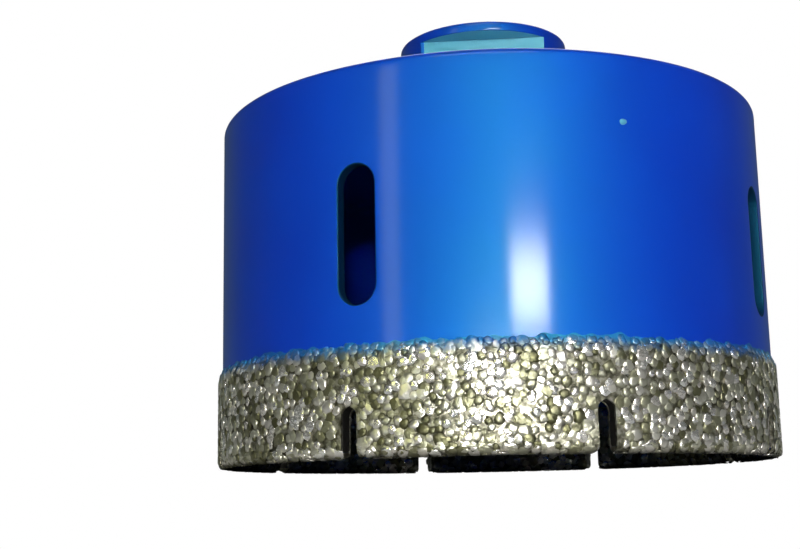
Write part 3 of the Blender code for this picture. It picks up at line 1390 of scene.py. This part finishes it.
def worn_crystal() -> tuple[Array, Array]:
    """A cube's 26 outer lattice points and the 48 triangles between them.

    Each triangle joins the middle of a face, the middle of one of its edges, and a corner
    at that edge's end, so the crystal keeps its facets whatever its three kinds of points
    are pushed out by.

    Returns:
        Points with whole coordinates from -1 to 1, and triangles that face outwards.
    """
    lattice = np.array(list(itertools.product((-1, 0, 1), repeat=3)), dtype=float)
    points = lattice[np.abs(lattice).sum(axis=1) > 0]
    order = {tuple(point.astype(int)): index for index, point in enumerate(points)}
    triangles = []
    for axes in itertools.permutations(range(3)):
        for signs in itertools.product((-1, 1), repeat=3):
            step = np.zeros(3, dtype=int)
            corners = []
            for axis, sign in zip(axes, signs):
                step[axis] = sign
                corners.append(tuple(step))
            face, edge, corner = (np.array(item) for item in corners)
            outward = np.dot(np.cross(edge - face, corner - face), face) > 0
            ordered = corners if outward else corners[::-1]
            triangles.append([order[item] for item in ordered])
    return points, np.array(triangles)


def random_turns(count: int, rng: np.random.Generator) -> Array:
    """Rotation matrices from random unit quaternions, by the quaternion's nine products."""
    quaternion = rng.normal(size=(count, 4))
    w, x, y, z = (quaternion / np.linalg.norm(quaternion, axis=1, keepdims=True)).T
    rows = [
        [1 - 2 * (y * y + z * z), 2 * (x * y - z * w), 2 * (x * z + y * w)],
        [2 * (x * y + z * w), 1 - 2 * (x * x + z * z), 2 * (y * z - x * w)],
        [2 * (x * z - y * w), 2 * (y * z + x * w), 1 - 2 * (x * x + y * y)],
    ]
    return np.array(rows).transpose(2, 0, 1)


@dataclass
class Hub:
    """The turned hub: a collar, two wrench flats, a foot, a spigot and an M14 x 2 thread.

    Attributes:
        radius: Its radius.
        seat: Height of its seat on the crown.
        top: Height of its top.
        edge: Radius of the collar's rounded upper edge.
        flats_low: Height where the flats begin.
        flats_high: Height where they end, under the collar.
        flats_across: Distance between them.
        flats_turn: The first one's angle.
        lip: Radius of the flats' ends.
        spigot: Radius of the spigot.
        spigot_end: Height of its end.
        spigot_chamfer: Chamfer of that end.
        thread_minor: Radius of the thread's crests.
        thread_depth: Its depth.
        pitch: Its pitch.
        countersink: How far the bore's upper end opens beyond the crests, and its lower
            end by half as much.
        crest: Half the width of a crest, as a share of half the pitch.
        flank: Width of a flank, in the same shares.
        thread_rows: Rows of points in one pitch.
        flat_columns: Columns of points across a flat.
        round_columns: Columns of points round the rest, between two flats.
        flat_margin: Height of the rows along a flat's upper and lower edge.
    """

    radius: float = 15.75 * MM
    seat: float = 61.52 * MM
    top: float = 78.9 * MM
    edge: float = 0.6 * MM
    flats_low: float = 65.7 * MM
    flats_high: float = 77.1 * MM
    flats_across: float = 22.0 * MM
    flats_turn: float = math.radians(24.0)
    lip: float = 0.16 * MM
    spigot: float = 12.0 * MM
    spigot_end: float = 57.5 * MM
    spigot_chamfer: float = 0.5 * MM
    thread_minor: float = 5.9 * MM
    thread_depth: float = 1.1 * MM
    pitch: float = 2.0 * MM
    countersink: float = 1.6 * MM
    crest: float = 0.22
    flank: float = 0.66
    thread_rows: int = 12
    flat_columns: int = 60
    round_columns: int = 48
    flat_margin: float = 0.12 * MM

    def columns(self) -> Array:
        """Angles of the columns, with one at each upright edge of the flats."""
        half = math.acos(self.flats_across / 2 / self.radius)
        spans = []
        for turn in (self.flats_turn, self.flats_turn + math.pi):
            for start, end, count in (
                (turn - half, turn + half, self.flat_columns),
                (turn + half, turn + math.pi - half, self.round_columns),
            ):
                spans.append(np.linspace(start, end, count, endpoint=False))
        return np.concatenate(spans)

    def milled(self, angle: Array) -> Array:
        """How deep the flats cut into the round at each angle.

        A flat's distance from the axis at an angle is half the distance across, over the
        cosine of the angle from the flat's middle. The cut is the radius less that.
        """
        least = 1e-3
        cosine = np.maximum(np.abs(np.cos(angle - self.flats_turn)), least)
        chord = self.flats_across / 2 / cosine
        return np.maximum(self.radius - chord, 0.0)

    def outside_rows(self, angle: Array) -> tuple[Array, Array]:
        """Radii and heights from the countersink over the collar, the flats and the spigot.

        Args:
            angle: The columns' angles.

        Returns:
            Radii and heights by row and column.
        """
        centre = (self.radius - self.edge, self.top - self.edge)
        bend = quarter(centre, self.edge, math.pi / 2, 0.0, steps=4)
        lip, rounded, full = self.lip, 0.3 * self.lip, self.radius
        between = np.linspace(self.flats_high, self.flats_low, num=7)[1:-1]
        deepest_cuts = [
            (0.0, self.flats_high + lip),
            (rounded, self.flats_high + rounded),
            (lip, self.flats_high),
            (full, self.flats_high),
            (full, self.flats_high - self.flat_margin),
            *[(full, height) for height in between],
            (full, self.flats_low + self.flat_margin),
            (full, self.flats_low),
            (lip, self.flats_low),
            (rounded, self.flats_low - rounded),
            (0.0, self.flats_low - lip),
        ]
        top_hole = self.thread_minor + self.countersink
        plain = [(top_hole, self.top), (0.5 * (top_hole + self.radius), self.top), *bend]
        under = [
            (self.radius, self.seat),
            (self.spigot, self.seat),
            (self.spigot, self.spigot_end + self.spigot_chamfer),
            (self.spigot - self.spigot_chamfer, self.spigot_end),
        ]
        cut = self.milled(angle)
        radii = [np.full_like(angle, radius) for radius, _ in plain]
        radii += [self.radius - np.minimum(cut, depth) for depth, _ in deepest_cuts]
        radii += [np.full_like(angle, radius) for radius, _ in under]
        heights = [height for _, height in [*plain, *deepest_cuts, *under]]
        return np.array(radii), np.array(heights)[:, None] + 0.0 * angle

    def bore_rows(self, angle: Array) -> tuple[Array, Array]:
        """The threaded bore from below: a helix of straight flanks between flat crests.

        The thread's phase is the height over the pitch less the share of a turn. Its depth
        is a triangle wave of the phase, held flat at both ends. A countersink widens each
        end at a slope of one to one.

        Args:
            angle: The columns' angles.

        Returns:
            Radii and heights by row and column.
        """
        rows = round((self.top - self.spigot_end) / self.pitch * self.thread_rows)
        height = np.linspace(self.spigot_end, self.top, rows + 1)[:, None] + 0.0 * angle
        phase = (height / self.pitch - angle / math.tau) % 1.0
        wave = 1.0 - np.abs(2.0 * phase - 1.0)
        cut = np.clip((wave - self.crest) / self.flank, 0.0, 1.0)
        thread = self.thread_minor + self.thread_depth * cut
        upper = self.thread_minor + self.countersink - (self.top - height)
        lower = self.thread_minor + self.countersink / 2 - (height - self.spigot_end)
        return np.maximum(thread, np.maximum(upper, lower)), height

    def build(self, enamel: Material, steel: Material, milled: Material) -> Piece:
        """The hub as one closed surface, painted outside, with its thread left bare.

        Args:
            enamel: The paint.
            steel: The bare steel.
            milled: The paint on the milled flats and the ledge above them, thin over milled
                steel and made lighter and greener as a painted highlight.

        Returns:
            The hub.
        """
        angle = self.columns()
        outside, bore = (
            placed(radius, angle, height)
            for radius, height in (self.outside_rows(angle), self.bore_rows(angle))
        )
        height = outside[:-1, 0, 2]
        below_lip, above_foot = self.flats_high + SAME_HEIGHT, self.flats_low + SAME_HEIGHT
        flat_rows = (height < below_lip) & (height > above_foot)
        # the flats and the ledge above them take the lighter paint, a painted highlight
        highlight_faces = flat_rows[:, None] & (self.milled(angle) > 0.0)[None, :]
        surface = Surface()
        surface.add_grid(outside, ~highlight_faces, closed_columns=True)
        surface.add_grid(outside, highlight_faces, closed_columns=True, finish=2)
        surface.add_grid(bore, closed_columns=True, finish=1)
        surface.add_grid(np.stack([outside[-1], bore[0]]), closed_columns=True)
        hub = sewn("threaded_hub", surface, [enamel, steel, milled], crease=34.0)
        hand_over(hub, "hub_paint", "hub")
        return hub


@dataclass
class WeldBead:
    """The bead that joins the hub to the crown, rippled by the weaving torch.

    Attributes:
        root_radius: Radius of the hub at the bead.
        seat: Height of the crown under it.
        leg: Width and height of the bead.
        bulge: How far its face rises over a straight line.
        ripples: How many ripples it has in a turn.
        ripple: Height of a ripple.
        lag: How far a ripple's ends lag behind its middle, in radians of its phase.
        drift: How far the ripples stray from an even pace, in the same radians.
        unevenness: How far the leg's length wavers, as a share of it.
        columns: Columns of points round the hub.
        rows: Rows of points across its face.
    """

    root_radius: float = 15.74 * MM
    seat: float = 61.49 * MM
    leg: float = 2.35 * MM
    bulge: float = 0.42 * MM
    ripples: int = 62
    ripple: float = 0.16 * MM
    lag: float = 1.6
    drift: float = 0.5
    unevenness: float = 0.05
    columns: int = 620
    rows: int = 13

    def build(self, enamel: Material) -> Piece:
        """The bead: a crowned triangle carried round the hub.

        Across its face the bead rises as a half sine over the line from top to toe. A
        ripple, the square of a raised cosine, is the bent front of the weld pool, so its
        phase lags at both edges of the face by the square of the way from the middle.

        Args:
            enamel: The paint.

        Returns:
            The bead.
        """
        angle = np.linspace(0.0, math.tau, self.columns, endpoint=False)[None, :]
        share = np.linspace(0.0, 1.0, self.rows)[:, None]
        uneven = self.unevenness * wavering(angle, waves=(3, 5, 9, 14), seed=1.3)
        leg = self.leg * (1.0 + uneven)
        lag = self.lag * (2.0 * share - 1.0) ** 2
        phase = self.ripples * angle + lag + self.drift * wavering(angle, waves=(4, 7), seed=0.3)
        rise = self.bulge + self.ripple * (0.5 + 0.5 * np.cos(phase)) ** 2
        out = np.sin(math.pi * share) * rise / math.sqrt(2.0)
        radius = self.root_radius + leg * share + out
        height = self.seat + leg * (1.0 - share) + out
        face = placed(radius, angle, height)
        corner = placed(np.full_like(angle, self.root_radius), angle, self.seat)
        surface = Surface()
        surface.add_grid(np.concatenate([face, corner]), closed_rows=True, closed_columns=True)
        bead = sewn("weld_bead", surface, [enamel], crease=55.0)
        hand_over(bead, "weld_paint", "hub_weld")
        return bead


# ---------------------------------------------------------------------------------------
# Studio
# ---------------------------------------------------------------------------------------


@dataclass(frozen=True)
class Viewpoint:
    """Where the camera stands and how it is turned, found from the photograph.

    Attributes:
        turn: Angle round the axis.
        distance: Distance from the axis.
        height: Height over the rim's end; the camera is a little below it.
        pan: Turn to the side of the axis, in degrees.
        pitch: Upward tilt, in degrees.
        roll: Tilt round the line of sight, in degrees.
        lens: Focal length, in millimetres.
        sensor: Width of the sensor, in millimetres.
        sight: Nearest and farthest distance that is seen.
    """

    turn: float = math.radians(24.25)
    distance: float = 231.8 * MM
    height: float = -6.84 * MM
    pan: float = -4.14
    pitch: float = 10.39
    roll: float = -1.095
    lens: float = 56.75
    sensor: float = 36.0
    sight: Span = (0.01, 20.0)

    def beside(self, degrees: float, distance: float, height: float) -> Vector:
        """A place at some degrees to the right of the camera, seen from the axis."""
        turn = np.array(self.turn + math.radians(degrees))
        return Vector(placed(np.array(distance), turn, np.array(height)).tolist())

    def build(self) -> None:
        """Make the camera and give it to the scene.

        Its axes are the view ahead, turned to the side by the pan, lifted by the pitch and
        rolled, each by a cosine of the axis and a sine of the one beside it.
        """
        camera = bpy.data.objects.new("camera", bpy.data.cameras.new("camera"))
        camera.data.sensor_width = self.sensor
        camera.data.lens = self.lens
        camera.data.clip_start, camera.data.clip_end = self.sight
        pan, pitch, roll = (math.radians(value) for value in (self.pan, self.pitch, self.roll))
        level = Vector((math.sin(pan), math.cos(pan), 0.0))
        side = Vector((math.cos(pan), -math.sin(pan), 0.0))
        up = Vector((0.0, 0.0, 1.0))
        ahead = level * math.cos(pitch) + up * math.sin(pitch)
        above = up * math.cos(pitch) - level * math.sin(pitch)
        right = side * math.cos(roll) + above * math.sin(roll)
        top = above * math.cos(roll) - side * math.sin(roll)
        axes = Matrix((right, top, -ahead)).transposed()
        camera.matrix_world = (
            Matrix.Translation(self.beside(0.0, self.distance, self.height))
            @ Matrix.Rotation(self.turn, 4, "Z")
            @ axes.to_4x4()
        )
        bpy.context.scene.collection.objects.link(camera)
        bpy.context.scene.camera = camera


@dataclass(frozen=True)
class Lamp:
    """A soft lamp that looks at a height on the saw's axis.

    Attributes:
        name: Its name.
        degrees: Degrees to the right of the camera.
        distance: Distance from the axis.
        height: Height over the rim's end.
        size: Width and height of its face, in metres.
        power: Power, in watts.
        colour: Colour of its light.
        aim: Height on the axis that it looks at.
        spread: How widely it fans out, in degrees.
    """

    name: str
    degrees: float
    distance: float
    height: float
    size: Span
    power: float
    colour: Colour = WHITE
    aim: float = 30.0 * MM
    spread: float = 180.0

    def build(self, viewpoint: Viewpoint) -> None:
        """Hang the lamp, hidden from the camera itself."""
        data = bpy.data.lights.new(self.name, "AREA")
        data.shape = "RECTANGLE"
        data.size, data.size_y = self.size
        data.energy = self.power
        data.color = self.colour
        data.spread = math.radians(self.spread)
        lamp = bpy.data.objects.new(self.name, data)
        place = viewpoint.beside(self.degrees, self.distance, self.height)
        facing = (Vector((0.0, 0.0, self.aim)) - place).to_track_quat("-Z", "Y")
        lamp.matrix_world = Matrix.Translation(place) @ facing.to_matrix().to_4x4()
        lamp.visible_camera = False
        bpy.context.scene.collection.objects.link(lamp)


@dataclass
class Studio:
    """A pale floor, a white ground behind it, and soft lamps.

    Attributes:
        viewpoint: The camera's place.
        floor_radius: Radius of the floor.
        floor_drop: How far it lies under the rim's end.
        floor_columns: Points round each of its rings.
        floor_rings: How many rings it has.
        floor_colour: Its colour.
        cloud_size: Width of its slightly paler patches.
        paler: How much paler they are.
        fill: Strength of the light from all round.
        fill_colour: Its colour.
        mirrored: Share of the white ground that glossy surfaces mirror.
        lamps: The lamps.
    """

    viewpoint: Viewpoint
    floor_radius: float = 4.0
    floor_drop: float = 0.02 * MM
    floor_columns: int = 96
    floor_rings: int = 7
    floor_colour: Colour = (0.68, 0.68, 0.675)
    cloud_size: float = 0.4
    paler: float = 1.02
    fill: float = 0.03
    fill_colour: Colour = (0.80, 1.0, 0.95)
    mirrored: float = 0.05
    lamps: tuple[Lamp, ...] = (
        Lamp("key", 14.4, 0.4486, 0.093, (0.105, 0.034), 0.176, spread=100.0),
        Lamp("low_front", 0.0, 0.42, 0.021, (0.12, 0.03), 0.0150, aim=8.0 * MM, spread=18.0),
        Lamp("upper_front", 5.0, 0.42, 0.035, (0.12, 0.03), 0.0068, aim=66.0 * MM, spread=10.3),
        Lamp("overhead", 0.0, 0.40, 0.42, (0.34, 0.24), 0.60),
        Lamp("left_strip", -36.8, 0.42, 0.13, (0.05, 0.20), 0.095, (0.95, 1.0, 0.34)),
        Lamp("backdrop", 180.0, 0.70, 0.24, (1.8, 0.5), 0.13, (0.7, 1.0, 0.85)),
        Lamp("back_top", 180.0, 0.42, 0.50, (0.40, 0.30), 0.95),
    )

    def build(self) -> None:
        """Set up the view, the ground, the floor and the lamps."""
        scene = bpy.context.scene
        scene.view_settings.view_transform = "Standard"
        self.viewpoint.build()
        self.build_ground()
        self.build_floor()
        for lamp in self.lamps:
            lamp.build(self.viewpoint)

    def build_ground(self) -> None:
        """White wherever the camera looks past the saw, and a weaker fill for its light.

        The white's share is one for the camera's rays and those that go through, and the
        mirrored share for glossy rays, summed and held at one.
        """
        world = bpy.data.worlds.new("ground")
        bpy.context.scene.world = world
        bench = NodeBench.emptied(world, "ShaderNodeOutputWorld")
        rays = bench.add("ShaderNodeLightPath").outputs
        share = rays["Is Camera Ray"]
        for ray, part in (("Is Transmission Ray", 1.0), ("Is Glossy Ray", self.mirrored)):
            share = bench.maths("MULTIPLY_ADD", rays[ray], part, share, clamp=True)
        grounds = []
        for colour, strength in ((self.fill_colour, self.fill), (WHITE, 1.0)):
            ground = bench.add("ShaderNodeBackground")
            bench.feed(ground.inputs["Color"], colour)
            bench.feed(ground.inputs["Strength"], strength)
            grounds.append(ground.outputs[0])
        bench.finish(bench.mix(share, *grounds))

    def build_floor(self) -> Piece:
        """A pale disc under the rim: rings of points, each ring's radius twice the last one's.

        Its underside lets the camera look past it, because the camera stands a little lower
        than the rim. It stops all other rays from both sides.
        """
        around = np.linspace(0.0, math.tau, self.floor_columns, endpoint=False)[None, :]
        radius = self.floor_radius * 0.5 ** np.arange(float(self.floor_rings))[::-1, None]
        rings = placed(radius, around, np.full_like(radius, -self.floor_drop))
        centre = 0.0 * rings[:1] + rings[:1].mean(axis=1, keepdims=True)
        surface = Surface()
        surface.add_grid(np.concatenate([centre, rings]), closed_columns=True)
        bench = NodeBench.named("pale_floor")
        cloud = bench.pattern(Pattern.NOISE, self.cloud_size, "Fac", detail=2.0)
        paler = tuple(min(1.0, self.paler * part) for part in self.floor_colour)
        board = bench.principled(
            base_color=bench.clouds(cloud, self.floor_colour, paler),
            roughness=0.9,
            specular_ior_level=0.0,
        )
        under = bench.add("ShaderNodeNewGeometry").outputs["Backfacing"]
        camera = bench.add("ShaderNodeLightPath").outputs["Is Camera Ray"]
        clear = bench.add("ShaderNodeBsdfTransparent").outputs[0]
        board = bench.mix(bench.maths("MULTIPLY", under, camera), board, clear)
        floor = sewn("floor", surface, [bench.finish(board)], crease=30.0)
        if floor.data.polygons[0].normal.z < 0:
            floor.data.flip_normals()
        return floor


# ---------------------------------------------------------------------------------------
# The saw
# ---------------------------------------------------------------------------------------


@dataclass
class HoleSaw:
    """The whole saw.

    Attributes:
        notches: The dust notches, which cup and coat share.
    """

    notches: Notches = field(default_factory=Notches)

    def build(self) -> None:
        """Build and dress the cup, the coat, the hub and the weld."""
        enamel = Enamel("blue_enamel").material()
        self.build_cup(enamel)
        self.build_coat()
        # a lighter, greener copy of the enamel for the flats: a painted highlight of their
        # bright reflection
        milled = Enamel(
            "flats_painted_highlight",
            deep=(0.09, 0.40, 0.52),
            light=(0.15, 0.50, 0.60),
            flake=0.0,
            sheen=(0.2, 0.6, 0.8),
            roughness=0.4,
        )
        Hub().build(enamel, BareSteel().material(), milled.material())
        WeldBead().build(enamel)

    def build_cup(self, enamel: Material) -> None:
        """Build and dress the cup and the speck in its paint."""
        thin = Enamel(
            # near-black dull paint for the slots' sides: painted shade of the slots' insides
            "slot_sides_painted_shade",
            deep=(0.0006, 0.004, 0.030),
            light=(0.0008, 0.006, 0.045),
            sheen=(0.05, 0.50, 0.75),
            gloss=0.05,
        )
        # bare sawn steel, darkened far below clean steel as painted shade of the notches
        sawn = BareSteel("notch_steel_painted_shade", colour=(0.10, 0.095, 0.085), roughness=0.45)
        cup = Cup(self.notches)
        cup.build(enamel, thin.material(), sawn.material())
        pale = Enamel("pale_speck", deep=(0.10, 0.34, 0.52), light=(0.14, 0.42, 0.60), flake=0.0)
        PaintSpeck(cup.radius).build(pale.material())

    def build_coat(self) -> None:
        """Build and dress the braze and the grains on it."""
        braze = GritFinish(
            "nickel_braze",
            (
                (0.0, (0.07, 0.068, 0.045)),
                (0.5, (0.26, 0.25, 0.18)),
                (1.0, (0.60, 0.58, 0.50)),
            ),
            by_grain=False,
            metallic=0.9,
            roughness=(0.48, 0.34),
        ).material()
        grains = GritFinish(
            "diamond_grains",
            (
                (0.0, (0.14, 0.137, 0.066)),
                (0.25, (0.36, 0.355, 0.235)),
                (0.5, (0.69, 0.68, 0.55)),
                (0.8, (0.98, 0.93, 0.86)),
                (1.0, (1.00, 0.99, 0.94)),
            ),
            by_grain=True,
            metallic=0.9,
            roughness=(0.42, 0.24),
        ).material()
        coat = GritCoat(self.notches)
        coat.build_braze(braze)
        for zone in coat.zones():
            coat.build_grains(zone, grains)


def main() -> None:
    """Build the studio and the saw."""
    logging.basicConfig(level=logging.INFO, format="%(name)s: %(message)s")
    Studio(Viewpoint()).build()
    HoleSaw().build()


if __name__ == "__main__":
    main()
